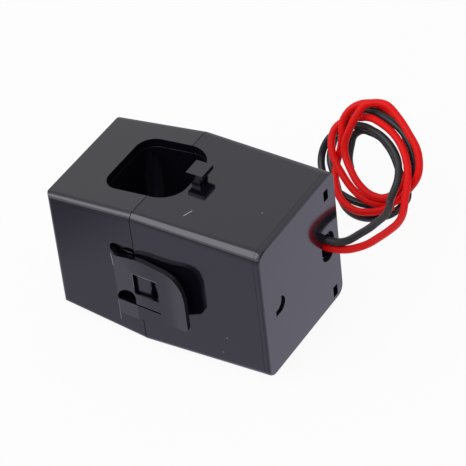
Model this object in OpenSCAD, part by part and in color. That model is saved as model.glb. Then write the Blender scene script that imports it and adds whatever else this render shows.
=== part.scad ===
// Split-core current transformer: a fixed half with the secondary winding and two flying leads,
// and a cap on a hinge pin that snaps shut round the conductor with a flared latch.
// X runs along the case towards the leads, +Y towards the hinge, Z up along the aperture's axis.
// The origin is on the aperture's axis, level with the lowest edge of the case.

/* [Aperture] */
// Clear size of the aperture's rim, both ways
aperture = 16; // [14:0.2:17]
// Corner radius of the aperture in the cap
cap_corner = 3.5; // [2:0.1:4.5]
// Corner radius of the aperture in the fixed half
base_corner = 5.3; // [4:0.1:6]
// Thickness of the wall that lines the aperture
trough_t = 1.05; // [0.9:0.05:1.3]
// How far the lining stands inside the rim
rim_step = 0.15; // [0.1:0.05:0.3]

/* [Case] */
// Distance from the aperture's axis to the split between the halves
split_x = 2.6; // [2:0.1:3.2]
// Length of the cap, from the split to its closed end
cap_len = 19.3; // [18.5:0.1:22]
// Length of the fixed half, from the split to the outside of the end cover
base_len = 26.8; // [26.2:0.1:32]
// Room between the core and the front wall at the split
front_room = 1.5; // [1.3:0.05:2.5]
// Room between the core and the back wall at the split
back_room = 0.8; // [0.75:0.05:2]
// Height of the case at the split
case_h = 30.6; // [30:0.1:34]
// How much each side of the cap draws in towards its closed end
cap_draft_y = 0.75; // [0.4:0.05:0.85]
// How much the cap's top and bottom draw in towards its closed end
cap_draft_z = 2.0; // [1:0.1:2.4]
// How much each side of the fixed half draws in towards the end cover
base_draft_y = 0.2; // [0:0.05:0.4]
// How much the fixed half's top and bottom draw in towards the end cover
base_draft_z = 0.5; // [0.2:0.1:1]
// Radius of the long edges
edge_r = 1.6; // [1:0.1:2]
// Radius of the end cover's corners
cover_corner_r = 2.2; // [1.8:0.1:2.6]
// Thickness of the case walls
wall = 1.65; // [1.4:0.05:1.8]
// Thickness of the end cover
cover_t = 1.2; // [1:0.1:1.6]
// Height of the lip with which the end cover plugs into the case
cover_lip = 2; // [1.5:0.1:2.5]
// Gap between the two halves at the split
split_gap = 0.14; // [0.05:0.01:0.2]

/* [Latch] */
// Length of the ramp that lifts the latch off the cap's face
ramp_len = 5.4; // [5:0.1:6]
// Height of the latch's outer face above the case at the split
ramp_rise = 1.4; // [1.3:0.05:1.6]
// Reach of the latch past the split
latch_len = 12.2; // [10.5:0.1:13.5]
// Extra stand-off of the latch's flared tip
tip_flare = 1.5; // [0.8:0.1:2]
// Wall thickness of the latch
latch_t = 1.0; // [0.9:0.05:1.2]
// Half-height of the latch near its tip
latch_half = 5.7; // [5:0.1:6.5]
// Width of the slit under the latch window
slit = 0.35; // [0.25:0.05:0.5]
// Height of the catch's flat top above the case
catch_h = 0.85; // [0.6:0.05:0.9]

/* [Hinge] */
// Outer radius of the hinge knuckles
knuckle_r = 1.7; // [1.4:0.1:1.8]
// Radius of the hinge pin
pin_r = 0.6; // [0.5:0.05:0.8]
// Distance of the hinge axis behind the back face
hinge_off = 1.95; // [1.9:0.05:2.3]
// Length of the whole hinge
hinge_len = 20; // [16:0.5:22]
// Length of the cap's knuckle
cap_knuckle = 11.6; // [9:0.2:12]

/* [Tie hook] */
// Length of the hook's head along X
hook_x = 3.5; // [3:0.1:4]
// Width of the hook's head along Y
hook_y = 3.9; // [3:0.1:4.5]
// Height of the hook above the case
hook_h = 2.8; // [2.4:0.1:3.2]
// Thickness of the hook's head
hook_head_t = 0.9; // [0.7:0.05:1.2]

/* [Core and winding] */
// Thickness of the core's legs
leg_t = 2.2; // [1.8:0.05:2.25]
// Thickness of the fixed core's yoke
yoke_t = 2.8; // [2.4:0.1:3]
// Thickness of the moving core's yoke
cap_yoke_t = 3; // [2.6:0.1:3.2]
// Height of the core stack
core_h = 16; // [13:0.5:16.5]
// Radial build of the winding
winding_t = 2; // [1.5:0.1:2.2]
// Thickness of the bobbin's walls
bobbin_t = 0.7; // [0.6:0.05:0.9]
// Thickness of the tape over the winding
tape_t = 0.25; // [0.15:0.05:0.3]
// Thickness of the circuit board
board_t = 1.2; // [1:0.1:1.6]
// Thickness of the leaf spring behind the moving core
spring_t = 0.3; // [0.2:0.05:0.4]

/* [Leads] */
// Outer diameter of each lead
lead_d = 1.5; // [1.3:0.1:1.6]
// Outer radius of the leads' loose coil
coil_r = 11.7; // [11:0.1:12.2]

/* [Hidden] */

$fn = 48;
eps = 0.02;          // overshoot of cuts
fit_gap = 0.1;       // clearance between parts that plug together
thin = 0.02;         // thickness of a section slice inside a hull

mid_z = case_h / 2;
x_cap = split_x - cap_len;
x_base = split_x + base_len;
x_seam = x_base - cover_t;
cap_face = split_x - split_gap;
half_a = aperture / 2;
lining = half_a - rim_step;

// Half sizes of the case's section at a place along X
function drawn(x, cap_in, base_in) =
    x < split_x ? cap_in * (split_x - x) / cap_len : base_in * (x - split_x) / base_len;
function front(x) = front_w - drawn(x, cap_draft_y, base_draft_y);
function back(x) = back_w - drawn(x, cap_draft_y, base_draft_y);
function half_h(x) = case_h / 2 - drawn(x, cap_draft_z, base_draft_z);
function corner(x) = edge_r + drawn(x, 0, cover_corner_r - edge_r);

// Core, from the aperture outwards
lining_out = lining + trough_t;
core_in = lining_out + fit_gap;
core_out = core_in + leg_t;
front_w = core_out + front_room + wall;
back_w = core_out + back_room + wall;
core_z = core_h / 2;
x_cap_in = x_cap + wall;
cap_yoke_x = -core_in - cap_yoke_t;
face_t = 1.2;        // wall at the split, with the windows for the poles

// Winding and board, from the aperture towards the leads
flange_x0 = lining_out + 0.2;
flange_t = 0.8;
flange_over = 0.6;
winding_x0 = flange_x0 + flange_over;
yoke_x = winding_x0 + winding_t + bobbin_t + fit_gap;
winding_x1 = yoke_x + yoke_t + fit_gap + bobbin_t + winding_t;
flange_x1 = winding_x1 + flange_over;
bobbin_y = core_in - fit_gap;
tube_z = core_z + fit_gap + bobbin_t;
winding_z = tube_z + winding_t;
snug = 0.05;         // clearance of the winding and tape round what they are wound on
board_x = flange_x1 + 3.3;
board_back = board_x + board_t;
board_z = 10.5;
pin_boss = 2;
pin_y = -bobbin_y + pin_boss / 2;
pin_dz = 4;
pin_wire_r = 0.3;
solder_h = 0.6;
solder_r = 0.9;
diode_r = 1.35;
diode_half = 2.6;
diode_y = 4;
diode_lead_dz = 4.4;
diode_bend = 0.8;
diode_x = board_back + diode_r + fit_gap;
pin_over = 0.3;      // length of the pins past the solder
pad_y = [-6.5, 1.5];
pad_half = 7;
relief_half = [2, 3];

// Leaf spring between the moving core and the closed end of the cap
spring_half = 7;
spring_h = 10;
spring_sag = cap_yoke_x - x_cap_in - 2 * snug;
spring_bow = (pow(spring_half, 2) + pow(spring_sag, 2)) / (2 * spring_sag);

// Latch: places past the split and stand-off from the case, outside
latch_curve = [[0, 0], [0.41, 0.35], [0.6, 0.6]];
tip_curve = [[0.76, 0.33], [0.88, 0.67], [0.96, 0.87], [1, 1]];
tip_start = ramp_rise + 0.6;
pocket_depth = 1.4;
pocket_wall = 0.8;
pocket_dz = [-10, 7.4];
latch_window = [[-0.1, 5.4], [-2.2, 2.6]];
catch_x = [0.05, 0.6, 3.1, 3.3];
catch_play = 0.25;
latch_reach = 24;    // more than the latch's height and stand-off
slot_left = [-4.2, 5.95, 1.35];
slot_low = [[-3.75, 4.68], [-0.3, 6.05]];
slot_high = [[-4.2, 7.3], [0.2, 7.35]];
dome = [[-5.3, -6.5], [-5.42, -6], [-5.25, -5.4], [-4.7, -4.5], [-3.8, -3.6], [-2.8, -2.95],
        [-1.8, -2.5], [-1.1, -2.4], [-0.5, -2.6], [-0.1, -3.1], [-0.1, -4.75]];
slit_z = -4.75;

// End cover: openings as [y, height above mid height, width, height]
snap_windows = [[9.85, case_h / 2 - 4.2, 1.55, 2.3], [10.35, 2.9 - case_h / 2, 1.5, 2.4]];
snap_gap = 0.2;
tongue_foot = 2.3;
tongue_short = 1;
recess_d = 0.4;
recess_y = [-10.2, -8.6];
recess_r = 1.75;

// Leads where they leave the case, in the middle of the wire hole
lead_y = 9.15;
hole_z = mid_z - 0.6;
hole_w = 4.6;
hole_h = 6.4;
hole_step = 0.6;
hole_ledge = 0.7;
lead_pitch = lead_d + 0.15;
red_z = hole_z;
black_z = hole_z + lead_pitch;
lead_x0 = board_back + solder_h + snug;
relief_x = [board_back + solder_h + 0.4, x_seam - cover_lip - 0.2];

// Loose coil: it leans back on its lowest turns; the red turns lie in front of the black ones
coil_lean = 35;
coil_turn = -14;
coil_in = 5.6;
coil_t = 2;
coil_at = [21.5, 39.4, coil_r * cos(coil_lean) + coil_t * sin(coil_lean)];

// Routes of the leads from the board to the coil
black_route = [[lead_x0, lead_y, black_z], [x_base + 1, lead_y, black_z],
    [32, 9.95, 16.05], [32.7, 11.7, 15.6], [33.2, 14.5, 15], [33.5, 17.4, 14.2], [33.4, 20.8, 13.2],
    [33.1, 24.3, 12.1], [32.4, 27.1, 11.6], [31.5, 29.7, 11.3], [30.2, 33, 11.3],
    [28.4, 34.6, 12], [26.6, 35.6, 12.45], [25.55, 36.65, 12.7], [25.3, 38, 12.85],
    [25.2, 39.4, 13.1], [24.95, 40.9, 13.5], [24.2, 42.05, 13.75]];
red_route = [[lead_x0, lead_y, red_z], [x_base + 1.8, lead_y, red_z],
    [32.5, 9.7, 14.6], [34, 11.3, 14.3], [35, 13.65, 13.7], [35.5, 16.9, 12.9], [35.7, 20.8, 11.8],
    [35.5, 24.6, 10.7], [34.8, 27.8, 10.2], [33.9, 30.6, 10], [33.3, 33.1, 10.2],
    [33.4, 34.9, 11.2], [33.65, 36.4, 12.6], [33.6, 37.6, 13.9]];

hinge_x = split_x;
hinge_y = back_w + hinge_off;
hinge_z = [mid_z - hinge_len / 2, mid_z + hinge_len / 2];
knuckle_gap = 0.2;
pin_play = 0.06;

case_color = [0.14, 0.14, 0.16];

// ---------- shared shapes ----------

// Thin slice of the case's section, drawn in by inset
module slice(x, inset = 0) {
    r = max(corner(x) - inset, 0.4);
    for (y = [-front(x) + inset + r, back(x) - inset - r])
        for (z = [-1, 1])
            translate([x, y, mid_z + z * (half_h(x) - inset - r)])
                rotate([0, 90, 0]) cylinder(r = r, h = thin);
}

// Closed end of the cap: upright edges and long edges are round, top and bottom edges are crisp
module end_corners(x, r) {
    for (y = [-front(x) + r, back(x) - r])
        for (z = [-1, 1])
            translate([x + r, y, mid_z + z * (half_h(x) - r)])
                intersection() {
                    rotate([0, 90, 0]) cylinder(r = r, h = 2 * r, center = true, $fn = 32);
                    cylinder(r = r, h = 2 * r, center = true, $fn = 32);
                }
}

// Outline of the aperture, drawn in by inset: square with round corners, rounder in the fixed half
module aperture_outline(inset = 0) {
    h = half_a - inset;
    rc = cap_corner - inset;
    rb = base_corner - inset;
    translate([-h + rc, -h]) square([2 * h - rc - rb, 2 * h]);
    translate([-h, -h + rc]) square([h, 2 * (h - rc)]);
    translate([0, -h + rb]) square([h, 2 * (h - rb)]);
    for (s = [-1, 1]) {
        translate([-h + rc, s * (h - rc)]) circle(r = rc);
        translate([h - rb, s * (h - rb)]) circle(r = rb);
    }
}

// The aperture cut right through, drawn in by inset
module aperture_cut(inset) {
    translate([0, 0, -1]) linear_extrude(case_h + 1.3) aperture_outline(inset);
}

// Box between two corners
module span(a, b) {
    translate(a) cube(b - a);
}

// Rounded rectangle in the X-Z plane, extruded along Y
module round_bar(x0, x1, y0, y1, half_z, r) {
    translate([0, y1, mid_z]) rotate([90, 0, 0]) linear_extrude(y1 - y0) {
        translate([x0 + r, -half_z]) square([x1 - x0 - 2 * r, 2 * half_z]);
        translate([x0, -half_z + r]) square([x1 - x0, 2 * (half_z - r)]);
        for (x = [x0 + r, x1 - r])
            for (z = [-1, 1])
                translate([x, z * (half_z - r)]) circle(r = r);
    }
}

// Oblong in the Y-Z plane, extruded along X
module oblong(x0, x1, y, z, w, h) {
    for (s = [-1, 1])
        translate([x0, y, z + s * (h - w) / 2]) rotate([0, 90, 0]) cylinder(r = w / 2, h = x1 - x0);
    span([x0, y - w / 2, z - (h - w) / 2], [x1, y + w / 2, z + (h - w) / 2]);
}

module hinge_knuckle(z0, z1, side, bore_r) {
    difference() {
        union() {
            translate([hinge_x, hinge_y, z0]) cylinder(r = knuckle_r, h = z1 - z0);
            translate([side > 0 ? hinge_x : hinge_x - knuckle_r, back_w - 0.6, z0])
                cube([side > 0 ? knuckle_r : knuckle_r - split_gap, hinge_off + 0.6, z1 - z0]);
        }
        translate([hinge_x, hinge_y, z0 - 1]) cylinder(r = bore_r, h = z1 - z0 + 2);
    }
}

// Tube with eight sides along a route; its two ends are square to the first and last stretch
module lead_tube(route, d) {
    n = len(route);
    dirs = [for (i = [0 : n - 1])
        let (v = i == 0 ? route[1] - route[0]
               : i == n - 1 ? route[i] - route[i - 1]
               : (route[i + 1] - route[i]) / norm(route[i + 1] - route[i])
                 + (route[i] - route[i - 1]) / norm(route[i] - route[i - 1]))
        v / norm(v)];
    pts = [for (i = [0 : n - 1])
        let (up = [0, 0, 1], side0 = cross(up, dirs[i]), side = side0 / norm(side0),
             over = cross(dirs[i], side))
        for (k = [0 : 7]) route[i] + d / 2 * (cos(45 * k) * side + sin(45 * k) * over)];
    faces = concat([[for (k = [0 : 7]) k]],
        [for (i = [0 : n - 2]) for (k = [0 : 7])
            [8 * i + k, 8 * i + 8 + k, 8 * i + 8 + (k + 1) % 8, 8 * i + (k + 1) % 8]],
        [[for (k = [7 : -1 : 0]) 8 * (n - 1) + k]]);
    polyhedron(points = pts, faces = faces, convexity = 6);
}

// Windows for the core's poles in the wall at the split
module pole_windows(x0, x1) {
    for (s = [-1, 1])
        translate([x0, s > 0 ? core_in - fit_gap : -core_out - fit_gap, mid_z - core_z - fit_gap])
            cube([x1 - x0, leg_t + 2 * fit_gap, core_h + 2 * fit_gap]);
}

// ---------- fixed half ----------

module tie_hook() {
    stem_x = half_a;
    top = mid_z + half_h(half_a + hook_x);
    translate([stem_x, -hook_y / 2 + 0.6, top - wall / 2])
        cube([hook_x * 0.52, hook_y - 1.2, hook_h - hook_head_t / 2 + wall / 2]);
    translate([stem_x - 0.6, -hook_y / 2, top + hook_h - hook_head_t])
        cube([hook_x, hook_y, hook_head_t]);
}

// Raised catch in the latch window: a ramp at the split, a flat top and a steep locking edge
module latch_catch() {
    z = latch_window[1];
    translate([split_x, 0, mid_z + z[0] + catch_play])
        linear_extrude(z[1] - z[0] - 2 * catch_play)
            polygon([for (p = [[catch_x[0], -wall / 4], [catch_x[0], catch_h - 0.15],
                               [catch_x[1], catch_h], [catch_x[2], catch_h],
                               [catch_x[3], catch_h - 0.2], [catch_x[3], -wall / 4]])
                [p[0], -front(split_x + p[0]) - p[1]]]);
}

// Tongues that snap into the end cover's windows, short of its outer face
module snap_tongue(w) {
    hw = w[2] / 2 - snap_gap;
    hh = w[3] / 2 - snap_gap - 0.15;
    s = sign(w[1]);
    z = mid_z + w[1];
    x0 = x_seam - cover_lip - tongue_foot;
    span([x0, w[0] - hw, z - hh], [x_base - tongue_short, w[0] + hw, z + hh]);
    zw = mid_z + s * (half_h(x_seam) - wall / 2);
    span([x0, w[0] - hw, min(z, zw)], [x0 + tongue_foot - 0.3, w[0] + hw, max(z, zw)]);
}

module main_housing() {
    color(case_color) difference() {
        union() {
            difference() {
                hull() {
                    slice(split_x);
                    slice(x_seam - thin);
                }
                hull() {
                    slice(split_x + face_t, wall);
                    slice(x_seam + 1, wall);
                }
            }
            intersection() {
                translate([0, 0, wall / 2]) linear_extrude(case_h - wall)
                    aperture_outline(rim_step - trough_t);
                span([split_x, -front_w, 0], [half_a + 2, back_w, case_h]);
            }
            // rails that the board rests on
            for (y = [[-front(board_x) + wall / 2, -front(board_x) + wall + 1.4],
                      [back(board_x) - wall - 1.4, back(board_x) - wall / 2]])
                span([board_x - 1.3, y[0], mid_z - board_z + 1.5],
                     [board_x - snug, y[1], mid_z + board_z - 1.5]);
            // ribs that hold the bobbin's flanges at the top and the bottom
            for (s = [-1, 1], t = [-1, 1])
                translate([(flange_x0 + flange_x1) / 2 - 1.5, t * (bobbin_y - flange_t / 2) - 0.4,
                           s > 0 ? mid_z + winding_z + flange_over + fit_gap : wall / 2])
                    cube([3, 0.8, half_h(board_x) - wall / 2 - winding_z - flange_over - fit_gap]);
            latch_catch();
            tie_hook();
            for (w = snap_windows) snap_tongue(w);
            hinge_knuckle(hinge_z[0], mid_z - cap_knuckle / 2 - knuckle_gap, 1, pin_r);
            hinge_knuckle(mid_z + cap_knuckle / 2 + knuckle_gap, hinge_z[1], 1, pin_r);
        }
        aperture_cut(rim_step);
        for (z = [-1, case_h - wall])
            translate([0, 0, z]) linear_extrude(wall + (z < 0 ? 1 : 0.3)) aperture_outline();
        pole_windows(split_x - 1, split_x + face_t + 1);
    }
}

module end_cover() {
    color(case_color) difference() {
        union() {
            hull() {
                slice(x_seam + snug);
                slice(x_base - 0.5);
                slice(x_base - 0.15 - thin, 0.15);
                slice(x_base - thin, 0.45);
            }
            difference() {
                hull() {
                    slice(x_seam - cover_lip, wall + fit_gap);
                    slice(x_seam + cover_t / 2, wall + fit_gap);
                }
                hull() {
                    slice(x_seam - cover_lip - 1, wall + fit_gap + 1);
                    slice(x_seam + snug, wall + fit_gap + 1);
                }
            }
        }
        for (w = snap_windows)
            translate([x_seam - cover_lip - 1, w[0] - w[2] / 2, mid_z + w[1] - w[3] / 2])
                cube([cover_lip + cover_t + 2, w[2], w[3]]);
        oblong(x_base - hole_step, x_base + 1, lead_y, hole_z, hole_w, hole_h);
        oblong(x_seam - 1, x_base + 1, lead_y, hole_z, hole_w - 2 * hole_ledge,
               hole_h - 2 * hole_ledge);
        span([x_base - recess_d, recess_y[0], hole_z - recess_r],
             [x_base + 1, recess_y[1], hole_z + recess_r]);
        translate([x_base - recess_d, recess_y[1], hole_z]) rotate([0, 90, 0])
            cylinder(r = recess_r, h = recess_d + 1);
    }
}

module hinge_pin() {
    color([0.7, 0.7, 0.72]) {
        translate([hinge_x, hinge_y, hinge_z[0]]) cylinder(r = pin_r, h = hinge_len);
        translate([hinge_x, hinge_y, hinge_z[1]]) cylinder(r = pin_r + 0.4, h = 0.4);
    }
}

// ---------- cap ----------

// Section of the latch in the X-Y plane: its face stands off the case by the curve
latch_outer = concat([[-ramp_len, 0]],
    [for (p = latch_curve) [p[0] * latch_len, ramp_rise + p[1]]],
    [for (p = tip_curve) [p[0] * latch_len, tip_start + p[1] * tip_flare]]);

function off_face(p, s = 0) = [split_x + p[0], -front(split_x + p[0]) - p[1] + s];

module latch_section() {
    n = len(latch_outer);
    polygon(concat([for (p = latch_outer) off_face(p)],
        [for (i = [n - 1 : -1 : 1]) off_face(latch_outer[i], latch_t)],
        [off_face([-split_gap, -1.1]), off_face([-ramp_len, -1.1])]));
}

// Outline of the latch seen from the front, with the slot and the slit cut in from the split
module latch_outline() {
    h = latch_half;
    l = latch_len;
    polygon([[-ramp_len, slot_low[0][1] - 0.4], slot_low[0], slot_low[1], [0.6, h + 0.5],
        [2.3, h + 0.55], [0.41 * l, h + 0.2],
        [0.6 * l, h], [0.76 * l, h - 0.25], [0.88 * l, h - 0.9], [0.96 * l, h - 2], [l, h - 4.2],
        [l, -h + 0.7], [l - 0.7, -h - 0.25], [0.79 * l, -h - 0.6], [0.6 * l, -h - 1],
        [0.35 * l, -h - 1.6], [1.6, -h - 2.3], [-ramp_len, pocket_dz[0]]]);
}

module cap_latch() {
    intersection() {
        translate([0, 0, mid_z - latch_reach / 2]) linear_extrude(latch_reach) latch_section();
        translate([split_x, 0, mid_z]) rotate([90, 0, 0]) linear_extrude(latch_reach) latch_outline();
    }
}

// Hollow behind the ramp, open at the split
module ramp_pocket() {
    inner = [for (p = latch_outer) if (p[0] <= 0) off_face(p, latch_t)];
    translate([0, 0, mid_z + pocket_dz[0]]) linear_extrude(pocket_dz[1] - pocket_dz[0])
        polygon(concat(inner, [off_face([0.5, ramp_rise - latch_t]), off_face([0.5, -pocket_depth]),
            off_face([-ramp_len, -pocket_depth])]));
}

// Slots, slit and window through the latch, seen from the front
module latch_cuts() {
    w = latch_window;
    translate([split_x, -front_w + pocket_depth - 0.1, mid_z]) rotate([90, 0, 0])
        linear_extrude(latch_reach / 3) {
            translate([slot_left[0], slot_left[1]]) circle(r = slot_left[2]);
            polygon([slot_low[0], slot_low[1], [slot_high[1][0], slot_low[1][1] + 0.15],
                slot_high[1], slot_high[0], [slot_left[0], slot_left[1]]]);
            polygon(concat(dome, [[w[0][1], slit_z], [w[0][1], slit_z - slit],
                [dome[len(dome) - 1][0], slit_z - slit]]));
            translate([w[0][0], w[1][0]]) square([w[0][1] - w[0][0], w[1][1] - w[1][0]]);
        }
}

module cap_housing() {
    color(case_color) difference() {
        union() {
            difference() {
                hull() {
                    slice(cap_face - thin);
                    end_corners(x_cap, edge_r);
                }
                hull() {
                    slice(x_cap_in, wall);
                    slice(split_x, wall);
                    slice(split_x + 1, wall);
                }
            }
            // wall behind the pocket
            translate([0, 0, mid_z + pocket_dz[0] - pocket_wall])
                linear_extrude(pocket_dz[1] - pocket_dz[0] + 2 * pocket_wall)
                    polygon([off_face([-split_gap, -0.8]),
                        off_face([-split_gap, -pocket_depth - pocket_wall]),
                        off_face([-ramp_len - pocket_wall, -pocket_depth - pocket_wall]),
                        off_face([-ramp_len - pocket_wall, -0.8])]);
            cap_latch();
            hinge_knuckle(mid_z - cap_knuckle / 2, mid_z + cap_knuckle / 2, -1, pin_r + pin_play);
        }
        aperture_cut(0);
        ramp_pocket();
        latch_cuts();
    }
}

module cap_liner() {
    gap = wall + fit_gap;
    color(case_color) difference() {
        intersection() {
            hull() {
                slice(x_cap_in + fit_gap, gap);
                slice(cap_face - thin, gap);
            }
            translate([0, 0, -1]) linear_extrude(case_h + 2) difference() {
                union() {
                    intersection() {
                        aperture_outline(rim_step - trough_t);
                        translate([x_cap, -front_w]) square([cap_face - x_cap, 2 * front_w]);
                    }
                    translate([cap_face - face_t, -front_w]) square([face_t, 2 * front_w]);
                }
                aperture_outline(rim_step);
            }
        }
        pole_windows(cap_face - face_t - 1, split_x + 1);
        // room for the wall behind the pocket
        span([cap_face - face_t - 1, -front_w, mid_z + pocket_dz[0] - pocket_wall - fit_gap],
             [split_x + 1, -front_w + pocket_depth + pocket_wall + fit_gap,
              mid_z + pocket_dz[1] + pocket_wall + fit_gap]);
    }
}

// ---------- core and winding ----------

module moving_core() {
    color([0.45, 0.45, 0.48]) difference() {
        span([cap_yoke_x, -core_out, mid_z - core_z], [split_x, core_out, mid_z + core_z]);
        span([-core_in, -core_in, 0], [split_x + 1, core_in, case_h]);
    }
}

module core_spring() {
    x0 = x_cap_in + snug;
    color([0.75, 0.72, 0.6]) translate([0, 0, mid_z - spring_h / 2])
        linear_extrude(spring_h) intersection() {
            translate([x0 + spring_sag - spring_bow, 0]) difference() {
                circle(r = spring_bow);
                circle(r = spring_bow - spring_t);
            }
            translate([x0, -spring_half]) square([spring_sag + 1, 2 * spring_half]);
        }
}

// L-shaped half of the fixed core: a leg from the split and half of the yoke inside the bobbin
module fixed_core(s) {
    y = [s * core_in, s * core_out];
    span([split_x, min(y), mid_z - core_z], [yoke_x, max(y), mid_z + core_z]);
    span([yoke_x, s > 0 ? 0 : -core_out, mid_z - core_z],
         [yoke_x + yoke_t, s > 0 ? core_out : 0, mid_z + core_z]);
}

module fixed_core_front() { color([0.45, 0.45, 0.48]) fixed_core(-1); }
module fixed_core_back() { color([0.42, 0.42, 0.45]) fixed_core(1); }

module bobbin() {
    tube = [winding_x0 + winding_t, winding_x1 - winding_t];
    color([0.9, 0.88, 0.8]) difference() {
        union() {
            round_bar(tube[0], tube[1], -bobbin_y + 0.1, bobbin_y - 0.1, tube_z, bobbin_t);
            for (s = [-1, 1])
                translate([0, s * (bobbin_y - flange_t / 2), 0])
                    round_bar(flange_x0, flange_x1, -flange_t / 2, flange_t / 2,
                              winding_z + flange_over, 2);
            span([flange_x1 - 0.2, -bobbin_y, mid_z - pin_dz - 1.2],
                 [flange_x1 + 1.5, -bobbin_y + pin_boss, mid_z + pin_dz + 1.2]);
        }
        span([yoke_x - fit_gap, -front_w, mid_z - core_z - fit_gap],
             [yoke_x + yoke_t + fit_gap, front_w, mid_z + core_z + fit_gap]);
        for (s = [-1, 1])
            translate([flange_x1, pin_y, mid_z + s * pin_dz]) rotate([0, 90, 0])
                cylinder(r = pin_wire_r, h = 3);
    }
}

// Sleeve round the bobbin's tube between its flanges, from one layer to another
module wound(from, to, r) {
    y = bobbin_y - flange_t - snug;
    difference() {
        round_bar(winding_x0 + winding_t - to, winding_x1 - winding_t + to, -y, y, tube_z + to, r + to);
        round_bar(winding_x0 + winding_t - from, winding_x1 - winding_t + from,
                  -y - 1, y + 1, tube_z + from, r + from);
    }
}

module secondary_winding() { color([0.72, 0.36, 0.2]) wound(snug, winding_t, bobbin_t); }
module winding_tape() {
    color([0.85, 0.7, 0.2]) wound(winding_t + snug, winding_t + snug + tape_t, bobbin_t);
}

module bobbin_pins() {
    for (s = [-1, 1])
        color([0.8, 0.8, 0.82]) translate([flange_x1, pin_y, mid_z + s * pin_dz]) rotate([0, 90, 0])
            cylinder(r = pin_wire_r, h = board_back + solder_h + pin_over - flange_x1);
}

// ---------- board and leads ----------

module circuit_board() {
    color([0.1, 0.4, 0.2]) difference() {
        span([board_x, -front(board_x) + wall + 0.3, mid_z - board_z],
             [board_back, back(board_x) - wall - 0.3, mid_z + board_z]);
        for (p = [[pin_y, pin_dz, pin_wire_r], [diode_y, diode_lead_dz, pin_wire_r]], s = [-1, 1])
            translate([board_x - 1, p[0], mid_z + s * p[1]]) rotate([0, 90, 0])
                cylinder(r = p[2] + fit_gap, h = board_t + 2);
    }
}

module clamp_diode() {
    color([0.15, 0.15, 0.15]) difference() {
        translate([diode_x, diode_y, mid_z - diode_half]) cylinder(r = diode_r, h = 2 * diode_half);
    }
    for (s = [-1, 1])
        color([0.8, 0.8, 0.82]) translate([diode_x, diode_y, mid_z]) scale([1, 1, 1])
            mirror([0, 0, s > 0 ? 0 : 1]) {
                translate([0, 0, diode_half - 0.2])
                    cylinder(r = pin_wire_r, h = diode_lead_dz - diode_bend - diode_half + 0.2);
                translate([-diode_bend, 0, diode_lead_dz - diode_bend]) rotate([90, 0, 0])
                    rotate_extrude(angle = 90) translate([diode_bend, 0]) circle(r = pin_wire_r);
                translate([-diode_x + board_x - 0.6, 0, diode_lead_dz]) rotate([0, 90, 0])
                    cylinder(r = pin_wire_r, h = diode_x - diode_bend - board_x + 0.6);
            }
}

// Fillet of solder round a wire of radius r; it stands on the board at x, on the side of dir
module solder(x, y, z, r, dir) {
    translate([x, y, z]) rotate([0, dir * 90, 0]) difference() {
        cylinder(r1 = solder_r, r2 = solder_r - 0.4, h = solder_h);
        translate([0, 0, -1]) cylinder(r = r, h = solder_h + 2);
    }
}

module solder_joints() {
    color([0.78, 0.78, 0.8]) {
        for (s = [-1, 1]) {
            solder(board_back, pin_y, mid_z + s * pin_dz, pin_wire_r, 1);
            solder(board_x, diode_y, mid_z + s * diode_lead_dz, pin_wire_r, -1);
        }
        for (z = [red_z, black_z])
            translate([board_back, lead_y, z]) rotate([0, 90, 0])
                cylinder(r1 = lead_d / 2, r2 = lead_d / 2 - 0.2, h = solder_h);
    }
}

module foam_pad() {
    color([0.25, 0.25, 0.28])
        span([board_back + snug, pad_y[0], mid_z - pad_half], [x_seam, pad_y[1], mid_z + pad_half]);
}

module strain_relief() {
    z = (red_z + black_z) / 2;
    color([0.2, 0.2, 0.2]) difference() {
        span([relief_x[0], lead_y - relief_half[0], z - relief_half[1]],
             [relief_x[1], back(board_x) - wall - 0.25, z + relief_half[1]]);
        oblong(relief_x[0] - 1, relief_x[1] + 1, lead_y, z, lead_d + 0.06, lead_pitch + lead_d + 0.06);
    }
}

// One colour's layer of the loose coil, between two distances from the coil's middle plane
module coil_layer(t0, t1) {
    translate(coil_at) rotate([90 - coil_lean, 0, coil_turn]) translate([0, 0, t0])
        rotate_extrude() translate([coil_in, 0]) square([coil_r - coil_in, t1 - t0]);
}

module lead_black() { color([0.15, 0.16, 0.17]) lead_tube(black_route, lead_d); }
module lead_black_coil() { color([0.15, 0.16, 0.17]) coil_layer(-coil_t, -0.05); }
module lead_red() { color([0.85, 0.12, 0.12]) lead_tube(red_route, lead_d); }
module lead_red_coil() { color([0.85, 0.12, 0.12]) coil_layer(0.05, coil_t); }

main_housing();
end_cover();
cap_housing();
cap_liner();
hinge_pin();
fixed_core_front();
fixed_core_back();
moving_core();
core_spring();
bobbin();
secondary_winding();
winding_tape();
bobbin_pins();
circuit_board();
clamp_diode();
solder_joints();
foam_pad();
strain_relief();
lead_black();
lead_black_coil();
lead_red();
lead_red_coil();
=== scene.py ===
"""Dresses the split-core current transformer: camera, flying leads, moulded case, core, winding and board.

Lengths are written in millimetres and turned into metres by MM. X runs towards the leads, +Y towards
the hinge and Z up along the aperture.
"""

import bmesh
import bpy
import numpy as np
from mathutils import Matrix, Vector


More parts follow.
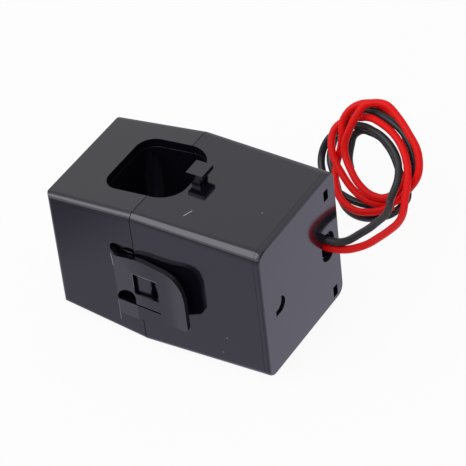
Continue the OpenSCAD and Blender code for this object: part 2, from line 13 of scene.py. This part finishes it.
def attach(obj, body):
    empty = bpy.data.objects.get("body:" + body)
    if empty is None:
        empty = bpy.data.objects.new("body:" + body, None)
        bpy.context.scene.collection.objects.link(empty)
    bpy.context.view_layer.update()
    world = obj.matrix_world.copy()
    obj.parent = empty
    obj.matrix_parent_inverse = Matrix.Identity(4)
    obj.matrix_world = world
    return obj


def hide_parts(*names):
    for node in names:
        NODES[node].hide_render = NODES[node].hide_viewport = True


MM = 0.001
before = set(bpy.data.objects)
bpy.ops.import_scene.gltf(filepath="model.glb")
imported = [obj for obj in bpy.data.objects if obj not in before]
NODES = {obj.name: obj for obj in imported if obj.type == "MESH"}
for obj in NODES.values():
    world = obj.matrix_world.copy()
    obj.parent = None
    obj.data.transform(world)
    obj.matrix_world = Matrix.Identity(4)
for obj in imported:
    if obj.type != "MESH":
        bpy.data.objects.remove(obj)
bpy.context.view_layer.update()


# ---------- camera ----------

ROUND, ABOVE, ROLL = np.radians([35.067, 39.721, -6.785])
AIM = np.array([2.6, -0.354, 15.345])
DISTANCE, SHIFT_RIGHT, SHIFT_UP = 503.24, 10.272, 0.402
FILM, LENS = 36.0, 208.33


def make_camera():
    """A long lens at AIM + DISTANCE back; back = (sin round cos above, -cos round cos above, sin above).

    It is rolled about back, and shifted a little to its right and up.
    """
    back = np.array([np.sin(ROUND) * np.cos(ABOVE), -np.cos(ROUND) * np.cos(ABOVE), np.sin(ABOVE)])
    level = np.array([np.cos(ROUND), np.sin(ROUND), 0.0])
    over = np.cross(back, level)
    right = np.cos(ROLL) * level + np.sin(ROLL) * over
    up = np.cos(ROLL) * over - np.sin(ROLL) * level
    place = AIM + DISTANCE * back + SHIFT_RIGHT * right + SHIFT_UP * up
    cam = bpy.data.objects.new("camera", bpy.data.cameras.new("camera"))
    bpy.context.scene.collection.objects.link(cam)
    cam.data.sensor_width, cam.data.lens = FILM, LENS
    cam.data.clip_start, cam.data.clip_end = 0.01, 10.0
    turn = Matrix((right, up, back)).transposed().to_4x4()
    cam.matrix_world = Matrix.Translation(Vector(place * MM)) @ turn
    bpy.context.scene.camera = cam


make_camera()


# ---------- flying leads ----------

LEAD_D = 1.5
START_X, EXIT_X = 23.85, 29.4    # the leads' start by the board, and the outer face of the cover
HOLE_Y, BLACK_Z, RED_Z = 9.15, 16.35, 14.7    # where each passes the wire hole
COIL_AT = np.array([21.5, 39.4, 10.731])
COIL_LEAN, COIL_TURN = np.radians([35.0, -14.0])
TURN_STEP, BLACK_START, RED_START = 20.0, -19.0, -11.0    # degrees round the coil
FINE_STEP, LAID_STEP, KEPT_STEP = 0.2, 0.8, 1.6    # between points of a line: while drawn, settled and kept
HELD_POINTS, NEAR_POINTS = 34, 8    # those that stay put, and those that count as the same stretch of wire
SETTLE_ROUNDS, TOUCH, EASE, FLOOR_GAP = 200, 1.01, 0.4, 0.02

BLACK_ROUTE = [(START_X, HOLE_Y, BLACK_Z), (30.4, HOLE_Y, BLACK_Z), (32, 9.95, 16.05),
               (32.7, 11.7, 15.6), (33.2, 14.5, 15), (33.5, 17.4, 14.2),
               (33.4, 20.8, 13.2), (33.1, 24.3, 12.1), (32.4, 27.1, 11.6)]
RED_ROUTE = [(START_X, HOLE_Y, RED_Z), (31.2, HOLE_Y, RED_Z), (32.5, 9.7, 14.6),
             (34, 11.3, 14.3), (35, 13.65, 13.7), (35.5, 16.9, 12.9),
             (35.7, 20.8, 11.8), (35.5, 24.6, 10.7), (34.8, 27.8, 10.2)]

# At every step of a turn: how far out the wire lies, and how far it stands before the coil's middle plane
RED_OUT = [13.9, 10.8, 9.1, 8.2, 7.7, 7.6, 8.0, 8.3, 9.3, 9.8, 8.6, 7.3, 6.4, 6.3, 6.7, 7.6, 8.9, 10.1,
           10.8, 12.3, 12.0, 11.0, 10.9, 11.4, 10.4, 7.5, 5.8, 5.2, 4.5, 3.9, 3.6, 3.7, 4.3, 5.4, 7.5, 9.8,
           9.3, 8.8, 8.5, 8.5, 8.6, 9.6, 10.7, 10.6, 9.3, 7.2, 7.4, 8.7, 9.5, 9.9, 10.1, 10.3, 10.5, 11.0]
RED_FORE = [4.2, 2.1, 1.3, 1.1, 1.0, 0.9, 0.7, 0.4, 0.2, 0.9, 1.3, 1.3, 1.3, 1.3, 1.3, 1.3, 1.1, 0.3,
            0.1, 0.7, 1.0, 1.3, 1.5, 1.8, 2.6, 2.9, 2.8, 2.5, 2.3, 2.3, 2.3, 2.3, 2.3, 2.3, 2.1, 1.0,
            -0.6, -1.2, -1.3, -1.2, -1.0, -0.7, 0.3, 1.3, 1.5, 1.2, 0.1, -0.7, -0.4, 0.6, 1.4, 1.8, 1.8, 1.0]
BLACK_OUT = [12.5, 9.7, 7.8, 6.4, 5.7, 5.5, 5.6, 6.4, 7.7, 9.5, 11.2, 12.3, 11.5, 9.7, 8.9, 8.8, 9.2,
             9.9, 10.2, 10.1, 9.7, 9.4, 9.0, 8.7, 9.0, 9.6, 10.0, 10.4, 11.2, 10.5, 9.6, 10.2, 10.9, 11.3,
             11.5, 11.6, 9.6, 6.4, 5.3, 4.6, 4.3, 4.4, 4.7, 5.3, 6.4, 6.7, 6.1, 6.0, 5.7]
BLACK_FORE = [6.0, 3.1, 1.8, 1.2, 1.0, 0.9, 0.7, 0.4, 0.0, -0.8, -1.3, -1.3, -0.6, 0.1, 0.4, 0.4, -0.1,
              -0.8, -1.5, -1.4, -1.0, -0.5, -0.2, 0.0, 0.0, -0.2, -0.7, -1.2, -1.6, -0.7, -0.4, -0.3, 0.0,
              0.4, 0.6, 0.1, -1.9, -1.3, -1.0, -1.0, -1.0, -1.0, -1.0, -1.0, -1.1, -1.2, -1.3, -1.3, -1.2]


def coil_points(start, out, fore):
    """Points a step apart round the leaning coil: centre + out (cos across + sin up) + fore front."""
    across = np.array([np.cos(COIL_TURN), np.sin(COIL_TURN), 0.0])
    away = np.array([-np.sin(COIL_TURN), np.cos(COIL_TURN), 0.0])
    up = away * np.sin(COIL_LEAN) + np.array([0, 0, np.cos(COIL_LEAN)])
    front = -away * np.cos(COIL_LEAN) + np.array([0, 0, np.sin(COIL_LEAN)])
    a = np.radians(start + TURN_STEP * np.arange(len(out)))[:, None]
    out, fore = np.array(out)[:, None], np.array(fore)[:, None]
    return COIL_AT + out * (np.cos(a) * across + np.sin(a) * up) + fore * front


def smooth_line(p, step):
    """A Hermite cubic through the points, with the central difference as each one's slope, at even steps."""
    p = np.asarray(p, float)
    s = np.r_[0, np.cumsum(np.linalg.norm(np.diff(p, axis=0), axis=1))]
    slope = np.gradient(p, s, axis=0)
    u = np.linspace(0, s[-1], int(s[-1] / FINE_STEP) + 1)
    k = np.clip(np.searchsorted(s, u, side="right") - 1, 0, len(s) - 2)
    h = (s[k + 1] - s[k])[:, None]
    t = ((u - s[k])[:, None]) / h
    line = ((2 * t**3 - 3 * t**2 + 1) * p[k] + (t**3 - 2 * t**2 + t) * h * slope[k]
            + (3 * t**2 - 2 * t**3) * p[k + 1] + (t**3 - t**2) * h * slope[k + 1])
    return even(line, step)


def even(line, step):
    """The same line with points at even steps of its own length."""
    s = np.r_[0, np.cumsum(np.linalg.norm(np.diff(line, axis=0), axis=1))]
    u = np.linspace(0, s[-1], int(round(s[-1] / step)) + 1)
    return np.stack([np.interp(u, s, line[:, k]) for k in range(3)], 1)


def settle(lines, d):
    """Pushes turns that are closer than d apart by half of what they lack, until they only touch.

    Each round also eases the shifts by (before + 2 own + after) / 4 and keeps the line off the floor.
    """
    size = [len(a) for a in lines]
    p = np.concatenate(lines)
    laid = p.copy()
    which = np.repeat(np.arange(len(lines)), size)
    index = np.arange(len(p))
    apart = (which[:, None] != which[None]) | (np.abs(index[:, None] - index[None]) > NEAR_POINTS)
    first = np.r_[0, np.cumsum(size)[:-1]]
    free = index - first[which] > HELD_POINTS
    inner = free & (index - first[which] < np.array(size)[which] - 1)
    for _ in range(SETTLE_ROUNDS):
        v = p[:, None] - p[None]
        r = np.linalg.norm(v, axis=2) + 1e-9
        lack = np.where(apart, np.clip(d - r, 0, None), 0)
        push = (v / r[..., None] * (0.5 * lack)[..., None]).sum(1) / np.maximum((lack > 0).sum(1), 1)[:, None]
        p = p + push * free[:, None]
        shift = p - laid
        mean = shift.copy()
        mean[1:-1] = (shift[:-2] + 2 * shift[1:-1] + shift[2:]) / 4
        p = np.where(inner[:, None], laid + (1 - EASE) * shift + EASE * mean, p)
        p[:, 2] = np.maximum(p[:, 2], d / 2 + FLOOR_GAP)
    return np.split(p, np.cumsum(size)[:-1])


def wire(name, line, d):
    """One open curve along the line, round in section: half the thickness is each point's radius."""
    curve = bpy.data.curves.new(name, "CURVE")
    curve.dimensions = "3D"
    curve.bevel_depth = 1.0
    curve.bevel_resolution = 5
    curve.use_fill_caps = True
    curve.resolution_u = 4
    s = curve.splines.new("BEZIER")
    s.bezier_points.add(len(line) - 1)
    s.bezier_points.foreach_set("co", (np.asarray(line) * MM).ravel())
    for q in s.bezier_points:
        q.handle_left_type = q.handle_right_type = "AUTO"
        q.radius = d / 2 * MM
    obj = bpy.data.objects.new(name, curve)
    bpy.context.scene.collection.objects.link(obj)
    return obj


routes = [BLACK_ROUTE + [tuple(p) for p in coil_points(BLACK_START, BLACK_OUT, BLACK_FORE)],
          RED_ROUTE + [tuple(p) for p in coil_points(RED_START, RED_OUT, RED_FORE)]]
black_line, red_line = settle([smooth_line(route, LAID_STEP) for route in routes], LEAD_D * TOUCH)
leads = {}
for color, line, z in (("black", black_line, BLACK_Z), ("red", red_line, RED_Z)):
    line = even(line, KEPT_STEP)
    leads[color] = wire(f"lead_wire_{color}", line, LEAD_D)
    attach(leads[color], "base")
    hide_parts(f"lead_{color}", f"lead_{color}_coil")


# ---------- shader groups ----------

def sockets(group, inputs, outputs):
    """Gives a group its inputs, a name with a number or None for a vector, and its outputs."""
    for name, value in inputs.items():
        kind = "NodeSocketVector" if value is None else "NodeSocketFloat"
        made = group.interface.new_socket(name, in_out="INPUT", socket_type=kind)
        if value is not None:
            made.default_value = value
    for name, kind in outputs.items():
        group.interface.new_socket(name, in_out="OUTPUT", socket_type=f"NodeSocket{kind}")


def put(node, values):
    """Writes constants on a node's inputs, by name."""
    for key, value in values.items():
        node.inputs[key].default_value = value
    return node


def joined(n, ln, operation, a, b):
    """One maths node that takes two sockets and gives its result."""
    m = n.new("ShaderNodeMath")
    m.operation = operation
    ln.new(a, m.inputs[0])
    ln.new(b, m.inputs[1])
    return m.outputs[0]


def scaled(n, ln, a, factor):
    """A socket times a constant."""
    m = n.new("ShaderNodeMath")
    m.operation = "MULTIPLY"
    ln.new(a, m.inputs[0])
    m.inputs[1].default_value = factor
    return m.outputs[0]


def ramp(n, ln, value, from_min, from_max, to_min, to_max, kind="LINEAR"):
    """A socket mapped from one range to the other and held at its ends."""
    m = put(n.new("ShaderNodeMapRange"), {"From Min": from_min, "From Max": from_max,
                                          "To Min": to_min, "To Max": to_max})
    m.interpolation_type = kind
    ln.new(value, m.inputs["Value"])
    return m.outputs[0]


def grouped(n, tree, values):
    """A node of a shared group, with its constants."""
    g = n.new("ShaderNodeGroup")
    g.node_tree = tree
    return put(g, values)


FINE_GRAIN, BROAD_GRAIN, GRAIN_HEIGHT = 3500.0, 240.0, 0.00003
BROAD_RANGE = (0.3, 0.7)
OPEN_SHARES = (0.55, 0.93)


def grain_group():
    """Moulded grain: fine noise in object space is a height, and broad noise moves the roughness.

    Roughness = ramp of the broad noise from Roughness - Spread to Roughness + Spread.
    """
    g = bpy.data.node_groups.new("moulded_grain", "ShaderNodeTree")
    sockets(g, {"Scale": 1.0, "Depth": 0.1, "Roughness": 0.2, "Spread": 0.1},
            {"Normal": "Vector", "Roughness": "Float", "Broad": "Float"})
    n, ln = g.nodes, g.links
    gi, go, co = n.new("NodeGroupInput"), n.new("NodeGroupOutput"), n.new("ShaderNodeTexCoord")
    fine, broad = n.new("ShaderNodeTexNoise"), n.new("ShaderNodeTexNoise")
    for noise, detail, scale in ((fine, 3, FINE_GRAIN), (broad, 4, BROAD_GRAIN)):
        noise.inputs["Detail"].default_value = detail
        ln.new(scaled(n, ln, gi.outputs["Scale"], scale), noise.inputs["Scale"])
        ln.new(co.outputs["Object"], noise.inputs["Vector"])
    bump = put(n.new("ShaderNodeBump"), {"Distance": GRAIN_HEIGHT})
    ln.new(gi.outputs["Depth"], bump.inputs["Strength"])
    ln.new(fine.outputs["Fac"], bump.inputs["Height"])
    rng = put(n.new("ShaderNodeMapRange"), {"From Min": BROAD_RANGE[0], "From Max": BROAD_RANGE[1]})
    ln.new(broad.outputs["Fac"], rng.inputs["Value"])
    for key, operation in (("To Min", "SUBTRACT"), ("To Max", "ADD")):
        ln.new(joined(n, ln, operation, gi.outputs["Roughness"], gi.outputs["Spread"]), rng.inputs[key])
    ln.new(bump.outputs[0], go.inputs["Normal"])
    ln.new(rng.outputs[0], go.inputs["Roughness"])
    ln.new(broad.outputs["Fac"], go.inputs["Broad"])
    return g


def painted_crevice_shade_group():
    """Painted shade for crevices: Open is 1 on free faces and falls to Floor where other faces stand closer
    than Reach.
    """
    g = bpy.data.node_groups.new("Painted crevice shade", "ShaderNodeTree")
    sockets(g, {"Reach": 0.0005, "Floor": 0.05}, {"Open": "Float"})
    n, ln = g.nodes, g.links
    gi, go = n.new("NodeGroupInput"), n.new("NodeGroupOutput")
    shut = n.new("ShaderNodeAmbientOcclusion")
    shut.samples = 8
    ln.new(gi.outputs["Reach"], shut.inputs["Distance"])
    level = put(n.new("ShaderNodeMapRange"), {"From Min": OPEN_SHARES[0], "From Max": OPEN_SHARES[1]})
    ln.new(gi.outputs["Floor"], level.inputs["To Min"])
    ln.new(shut.outputs["AO"], level.inputs["Value"])
    ln.new(level.outputs[0], go.inputs["Open"])
    return g


def mark_group():
    """Mark is 1 within Width of the straight line From..To and falls to 0 at twice that.

    The foot of a point p on the line is From + t (To - From), t = (p - From).(To - From) / |To - From|^2,
    held between 0 and 1.
    """
    g = bpy.data.node_groups.new("Fine mark", "ShaderNodeTree")
    sockets(g, {"From": None, "To": None, "Width": 0.00005}, {"Mark": "Float"})
    n, ln = g.nodes, g.links
    gi, go, co = n.new("NodeGroupInput"), n.new("NodeGroupOutput"), n.new("ShaderNodeTexCoord")

    def vector(operation, a, b, out="Vector"):
        v = n.new("ShaderNodeVectorMath")
        v.operation = operation
        ln.new(a, v.inputs[0])
        ln.new(b, v.inputs[1])
        return v.outputs[out]

    along = vector("SUBTRACT", gi.outputs["To"], gi.outputs["From"])
    across = vector("SUBTRACT", co.outputs["Object"], gi.outputs["From"])
    share = joined(n, ln, "DIVIDE", vector("DOT_PRODUCT", across, along, "Value"),
                   vector("DOT_PRODUCT", along, along, "Value"))
    share.node.use_clamp = True
    foot = n.new("ShaderNodeVectorMath")
    foot.operation = "SCALE"
    ln.new(along, foot.inputs[0])
    ln.new(share, foot.inputs["Scale"])
    off = vector("DISTANCE", across, foot.outputs["Vector"], "Value")
    ln.new(ramp(n, ln, joined(n, ln, "DIVIDE", off, gi.outputs["Width"]), 1.0, 2.0, 1.0, 0.0),
           go.inputs["Mark"])
    return g


GRAIN = grain_group()
CREVICE_SHADE = painted_crevice_shade_group()
MARK = mark_group()


def finish_material(name, color, roughness, spread=0.05, scale=1.0, depth=0.1, metallic=0.0, mottle=0.1,
                    ior=1.5, tint=(1.0, 1.0, 1.0), shine=0.5, crevice=0.0):
    """A Principled surface with the grain group's normal and roughness, and painted shade in narrow crevices,
    where its specular level falls.

    Its colour runs from color (1 - mottle) to color (1 + mottle) with the broad noise.
    """
    m = bpy.data.materials.new(name)
    m.use_nodes = True
    n, ln = m.node_tree.nodes, m.node_tree.links
    b = put(n["Principled BSDF"], {"Metallic": metallic, "IOR": ior, "Specular Tint": (*tint, 1),
                                   "Specular IOR Level": shine})
    # Painted shade: the specular level falls where other faces stand close, so gaps and seams look darker.
    if crevice:
        shut = grouped(n, CREVICE_SHADE, {"Reach": crevice})
        ln.new(scaled(n, ln, shut.outputs["Open"], shine), b.inputs["Specular IOR Level"])
    g = grouped(n, GRAIN, {"Scale": scale, "Depth": depth, "Roughness": roughness, "Spread": spread})
    mix = n.new("ShaderNodeMix")
    mix.data_type = "RGBA"
    for key, share in (("A", 1 - mottle), ("B", 1 + mottle)):
        mix.inputs[key].default_value = (*np.clip(np.array(color) * share, 0, 1), 1)
    ln.new(g.outputs["Broad"], mix.inputs["Factor"])
    ln.new(mix.outputs["Result"], b.inputs["Base Color"])
    ln.new(g.outputs["Roughness"], b.inputs["Roughness"])
    ln.new(g.outputs["Normal"], b.inputs["Normal"])
    return m


# Each fine mark: its two ends, its half width and how pale it is. The first four are scratches and specks;
# the rest are painted highlights along edges of the latch's ramp, its slot and its window.
CASE_SCRATCHES_AND_HIGHLIGHTS = [((11.54, -9.93, 30.43), (12.21, -8.16, 30.42), 0.045, 0.9),
              ((20.76, -14.21, 7.85), (20.84, -14.21, 7.8), 0.06, 0.6),
              ((19.48, -14.22, 3.9), (19.6, -14.22, 3.9), 0.05, 0.5),
              ((23.91, -3.18, 30.2), (23.96, -3.1, 30.2), 0.06, 0.6),
              # Painted highlights along edges of the latch's ramp, slot and window:
              ((-3.0, -14.11, 19.7), (-2.78, -14.16, 16.9), 0.045, 0.5),
              ((-2.7, -12.9, 20.35), (1.0, -12.87, 20.1), 0.05, 0.45),
              ((-2.8, -14.12, 8.4), (-2.84, -14.12, 3.6), 0.04, 0.35),
              ((2.42, -15.68, 17.9), (7.9, -16.09, 17.93), 0.045, 0.5),
              ((2.42, -15.68, 17.9), (2.42, -15.68, 14.6), 0.035, 0.3)]
PALE_SCRATCH_AND_HIGHLIGHT = (0.55, 0.55, 0.57, 1)


def scratches_and_painted_highlights(m, marks):
    """Fine light scratches and painted highlights along edges: the largest of the marks mixes the surface to
    a pale matt grey.
    """
    n, ln = m.node_tree.nodes, m.node_tree.links
    most = None
    for start, end, width, strength in marks:
        g = grouped(n, MARK, {"From": Vector(start) * MM, "To": Vector(end) * MM, "Width": width * MM})
        some = scaled(n, ln, g.outputs["Mark"], strength)
        most = joined(n, ln, "MAXIMUM", most, some) if most else some
    pale, mix = put(n.new("ShaderNodeBsdfDiffuse"), {"Color": PALE_SCRATCH_AND_HIGHLIGHT}), n.new("ShaderNodeMixShader")
    ln.new(most, mix.inputs[0])
    ln.new(n["Principled BSDF"].outputs[0], mix.inputs[1])
    ln.new(pale.outputs[0], mix.inputs[2])
    ln.new(mix.outputs[0], n["Material Output"].inputs["Surface"])


# The case gets painted shade in its crevices and seams through its specular level.
CASE = finish_material("case_plastic", (0.004, 0.0038, 0.0075), 0.1, 0.03, 1.0, 0.05, ior=1.58,
                       tint=(0.93, 0.91, 1.0), crevice=0.0007)
scratches_and_painted_highlights(CASE, CASE_SCRATCHES_AND_HIGHLIGHTS)
STEEL = finish_material("pin_steel", (0.62, 0.62, 0.64), 0.28, 0.08, 1.0, 0.2, metallic=1.0)
CORE = finish_material("core_laminations", (0.16, 0.16, 0.17), 0.38, 0.08, 1.0, 0.3, metallic=0.8)
STRIP = finish_material("spring_strip", (0.6, 0.56, 0.45), 0.25, 0.05, 1.0, 0.1, metallic=1.0)
BOBBIN = finish_material("bobbin_nylon", (0.76, 0.72, 0.62), 0.45, 0.05, 1.0, 0.2)
COPPER = finish_material("winding_copper", (0.62, 0.22, 0.09), 0.3, 0.08, 1.0, 0.2, metallic=0.9)
TAPE = finish_material("winding_tape", (0.75, 0.5, 0.06), 0.22, 0.05, 1.0, 0.1)
TINNED = finish_material("tinned_wire", (0.75, 0.75, 0.76), 0.25, 0.1, 1.0, 0.2, metallic=1.0)
BOARD = finish_material("board_mask", (0.01, 0.12, 0.05), 0.3, 0.06, 1.0, 0.1)
EPOXY = finish_material("diode_epoxy", (0.02, 0.02, 0.022), 0.42, 0.06, 1.0, 0.3)
FOAM = finish_material("pad_foam", (0.05, 0.05, 0.055), 0.85, 0.05, 0.5, 0.9)
RUBBER = finish_material("relief_rubber", (0.02, 0.02, 0.02), 0.55, 0.06, 1.0, 0.3)
RED_SKIN = finish_material("red_insulation", (0.86, 0.008, 0.008), 0.45, 0.05, 0.6, 0.25, mottle=0.06,
                           shine=0.14)
BLACK_SKIN = finish_material("black_insulation", (0.018, 0.022, 0.024), 0.38, 0.05, 0.6, 0.25, shine=0.3)


def paint(obj, material):
    """The one material of a piece."""
    obj.data.materials.clear()
    obj.data.materials.append(material)


paint(leads["black"], BLACK_SKIN)
paint(leads["red"], RED_SKIN)
for node, material in {
        "hinge_pin": STEEL, "fixed_core_front": CORE, "fixed_core_back": CORE, "moving_core": CORE,
        "core_spring": STRIP, "bobbin": BOBBIN, "secondary_winding": COPPER, "winding_tape": TAPE,
        "bobbin_pins": TINNED, "circuit_board": BOARD, "clamp_diode": EPOXY, "solder_joints": TINNED,
        "foam_pad": FOAM, "strain_relief": RUBBER}.items():
    paint(NODES[node], material)


# ---------- moulded case ----------

MERGE, FLAT_ANGLE, SHARP_ANGLE, EASE_ANGLE, EASE_WIDTH = 1e-6, 0.6, 32, 28.0, 0.13


def moulded(node, name, body):
    """A copy of a CAD solid with its doubles merged, its flat faces joined and its sharp edges eased."""
    obj = bpy.data.objects.new(name, NODES[node].data.copy())
    bpy.context.scene.collection.objects.link(obj)
    bm = bmesh.new()
    bm.from_mesh(obj.data)
    bmesh.ops.remove_doubles(bm, verts=bm.verts, dist=MERGE)
    bmesh.ops.dissolve_limit(bm, angle_limit=np.radians(FLAT_ANGLE), verts=bm.verts, edges=bm.edges)
    for f in bm.faces:
        f.smooth = True
    bm.to_mesh(obj.data)
    bm.free()
    obj.data.set_sharp_from_angle(angle=np.radians(SHARP_ANGLE))
    bevel = obj.modifiers.new("eased edges", "BEVEL")
    bevel.width = EASE_WIDTH * MM
    bevel.segments = 3
    bevel.limit_method = "ANGLE"
    bevel.angle_limit = np.radians(EASE_ANGLE)
    bevel.miter_outer = "MITER_ARC"
    even_out = obj.modifiers.new("flat faces stay flat", "WEIGHTED_NORMAL")
    even_out.mode = "FACE_AREA"
    even_out.weight = 50
    even_out.keep_sharp = True
    paint(obj, CASE)
    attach(obj, body)
    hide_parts(node)


moulded("main_housing", "case_fixed_half", "base")
moulded("end_cover", "case_end_cover", "base")
moulded("cap_housing", "case_cap", "cap")
moulded("cap_liner", "case_cap_lining", "cap")


# ---------- light and ground ----------

# The sky that gloss sees: its grey, a soft light in front, a dark flag behind, and a dark horizon.
# Each patch has a direction, the cosines where it starts and is full, and its level.
SKY_GREY, SKY_DIFFUSE = 0.92, 0.6
SOFT_LIGHT, SOFT_REACH, SOFT_STRENGTH = (-0.3, -0.66, 0.66), (0.6, 0.9), 1.8
FLAG, FLAG_REACH, FLAG_LEVEL = (0.64, 0.63, 0.44), (0.85, 0.97), 0.35
HORIZON, HORIZON_LEVEL = (0.0, 0.22), 0.2
# The floor that gloss sees is a painted reflection: its painted grey tone and tint, a side of painted shade
# and a side of painted light, and a spot of painted shade at the left
FLOOR_GLOSS, FLOOR_TINT = 0.82, (0.86, 0.84, 1.0, 1)
PAINTED_SHADE_LEFT, PAINTED_SHADE_LEFT_REACH, PAINTED_SHADE_LEFT_LEVEL = (0.8, 0.2, 0.55), (0.8, 0.97), 0.78
PAINTED_LIGHT_RIGHT, PAINTED_LIGHT_RIGHT_REACH, PAINTED_LIGHT_RIGHT_LEVEL = (-0.442, -0.63, 0.639), (0.6, 0.9), 1.22
PAINTED_SHADE_SPOT, SPOT_INNER, SPOT_OUTER, SPOT_LEVEL = (-46.0, -43.0, 0.0), 8, 34, 0.5
FLOOR_RADIUS, FLOOR_GLOW, FLOOR_WHITE = 0.6, 0.93, (0.85, 0.85, 0.85, 1)
KEY_AT, KEY_AIM, KEY_SIZE, KEY_WATTS = (-0.25, -0.35, 0.55), (0, 0, 0.01), 0.6, 2.2


def lamp(name, place, aim, size, watts):
    """A square area lamp turned to its aim."""
    data = bpy.data.lights.new(name, "AREA")
    data.shape = "SQUARE"
    data.size = size
    data.energy = watts
    obj = bpy.data.objects.new(name, data)
    bpy.context.scene.collection.objects.link(obj)
    obj.location = place
    obj.rotation_euler = (Vector(aim) - Vector(place)).to_track_quat("-Z", "Y").to_euler()


def patch(n, ln, direction, aim, reach, low, high):
    """A round patch of directions: a smooth step of direction.aim, low at reach[0] and high at reach[1]."""
    dot = n.new("ShaderNodeVectorMath")
    dot.operation = "DOT_PRODUCT"
    dot.inputs[1].default_value = Vector(aim).normalized()
    ln.new(direction, dot.inputs[0])
    return ramp(n, ln, dot.outputs["Value"], *reach, low, high, kind="SMOOTHSTEP")


def seen_white(n, ln, path):
    """1 for the rays that see the background: those of the camera, and those that come through glass."""
    return joined(n, ln, "MAXIMUM", path.outputs["Is Camera Ray"], path.outputs["Is Transmission Ray"])


def make_world():
    """White where it is seen, an even level for matt light, and soft * flag * rise for gloss."""
    world = bpy.data.worlds.new("studio")
    bpy.context.scene.world = world
    world.use_nodes = True
    n, ln = world.node_tree.nodes, world.node_tree.links
    background = put(n["Background"], {"Color": (1, 1, 1, 1)})
    path, co = n.new("ShaderNodeLightPath"), n.new("ShaderNodeTexCoord")
    direction = co.outputs["Generated"]
    soft = patch(n, ln, direction, SOFT_LIGHT, SOFT_REACH, SKY_GREY, SOFT_STRENGTH)
    flag = patch(n, ln, direction, FLAG, FLAG_REACH, 1.0, FLAG_LEVEL)
    rise = patch(n, ln, direction, (0, 0, 1), HORIZON, HORIZON_LEVEL, 1.0)
    gloss, seen = n.new("ShaderNodeMix"), n.new("ShaderNodeMix")
    gloss.inputs["A"].default_value = SKY_DIFFUSE
    ln.new(path.outputs["Is Glossy Ray"], gloss.inputs["Factor"])
    ln.new(joined(n, ln, "MULTIPLY", joined(n, ln, "MULTIPLY", soft, flag), rise), gloss.inputs["B"])
    ln.new(seen_white(n, ln, path), seen.inputs["Factor"])
    ln.new(gloss.outputs["Result"], seen.inputs["A"])
    seen.inputs["B"].default_value = 1.0
    ln.new(seen.outputs["Result"], background.inputs["Strength"])


def painted_floor_reflection(n, ln):
    """Painted reflection of the floor, seen only by gloss: left * right * spot, with painted shade from the
    left patch and the spot and painted light from the right patch; spot is a smooth step of the distance to
    it.
    """
    geo, near = n.new("ShaderNodeNewGeometry"), n.new("ShaderNodeVectorMath")
    came = geo.outputs["Incoming"]
    # Painted shade over one patch of incoming directions, painted light over another, and a spot of painted
    # shade by distance.
    left = patch(n, ln, came, PAINTED_SHADE_LEFT, PAINTED_SHADE_LEFT_REACH, FLOOR_GLOSS, PAINTED_SHADE_LEFT_LEVEL * FLOOR_GLOSS)
    right = patch(n, ln, came, PAINTED_LIGHT_RIGHT, PAINTED_LIGHT_RIGHT_REACH, 1.0, PAINTED_LIGHT_RIGHT_LEVEL)
    near.operation = "DISTANCE"
    near.inputs[1].default_value = Vector(PAINTED_SHADE_SPOT) * MM
    ln.new(geo.outputs["Position"], near.inputs[0])
    spot = ramp(n, ln, near.outputs["Value"], SPOT_INNER * MM, SPOT_OUTER * MM, SPOT_LEVEL, 1.0,
                kind="SMOOTHSTEP")
    return joined(n, ln, "MULTIPLY", joined(n, ln, "MULTIPLY", left, right), spot)


def make_floor():
    """A white disc: the camera sees it nearly white with its shadow, gloss sees it grey with painted shade
    and painted light that fall off softly.
    """
    bm = bmesh.new()
    bmesh.ops.create_circle(bm, cap_ends=True, radius=FLOOR_RADIUS, segments=96)
    mesh = bpy.data.meshes.new("floor")
    bm.to_mesh(mesh)
    bm.free()
    floor = bpy.data.objects.new("floor", mesh)
    bpy.context.scene.collection.objects.link(floor)
    m = bpy.data.materials.new("floor_white")
    m.use_nodes = True
    n, ln = m.node_tree.nodes, m.node_tree.links
    matt = put(n["Principled BSDF"], {"Base Color": FLOOR_WHITE, "Roughness": 0.9})
    path = n.new("ShaderNodeLightPath")
    glow = put(n.new("ShaderNodeEmission"), {"Strength": 1.0})
    tone = put(n.new("ShaderNodeEmission"), {"Color": FLOOR_TINT})
    # The gloss-only emission of the floor carries the painted reflection: painted shade and painted light.
    ln.new(painted_floor_reflection(n, ln), tone.inputs["Strength"])
    lit, all_of_it = n.new("ShaderNodeMixShader"), n.new("ShaderNodeMixShader")
    ln.new(scaled(n, ln, seen_white(n, ln, path), FLOOR_GLOW), lit.inputs[0])
    ln.new(matt.outputs[0], lit.inputs[1])
    ln.new(glow.outputs[0], lit.inputs[2])
    ln.new(path.outputs["Is Glossy Ray"], all_of_it.inputs[0])
    ln.new(lit.outputs[0], all_of_it.inputs[1])
    ln.new(tone.outputs[0], all_of_it.inputs[2])
    ln.new(all_of_it.outputs[0], n["Material Output"].inputs["Surface"])
    mesh.materials.append(m)


make_world()
make_floor()
lamp("key", KEY_AT, KEY_AIM, KEY_SIZE, KEY_WATTS)
bpy.context.scene.view_settings.view_transform = "Standard"
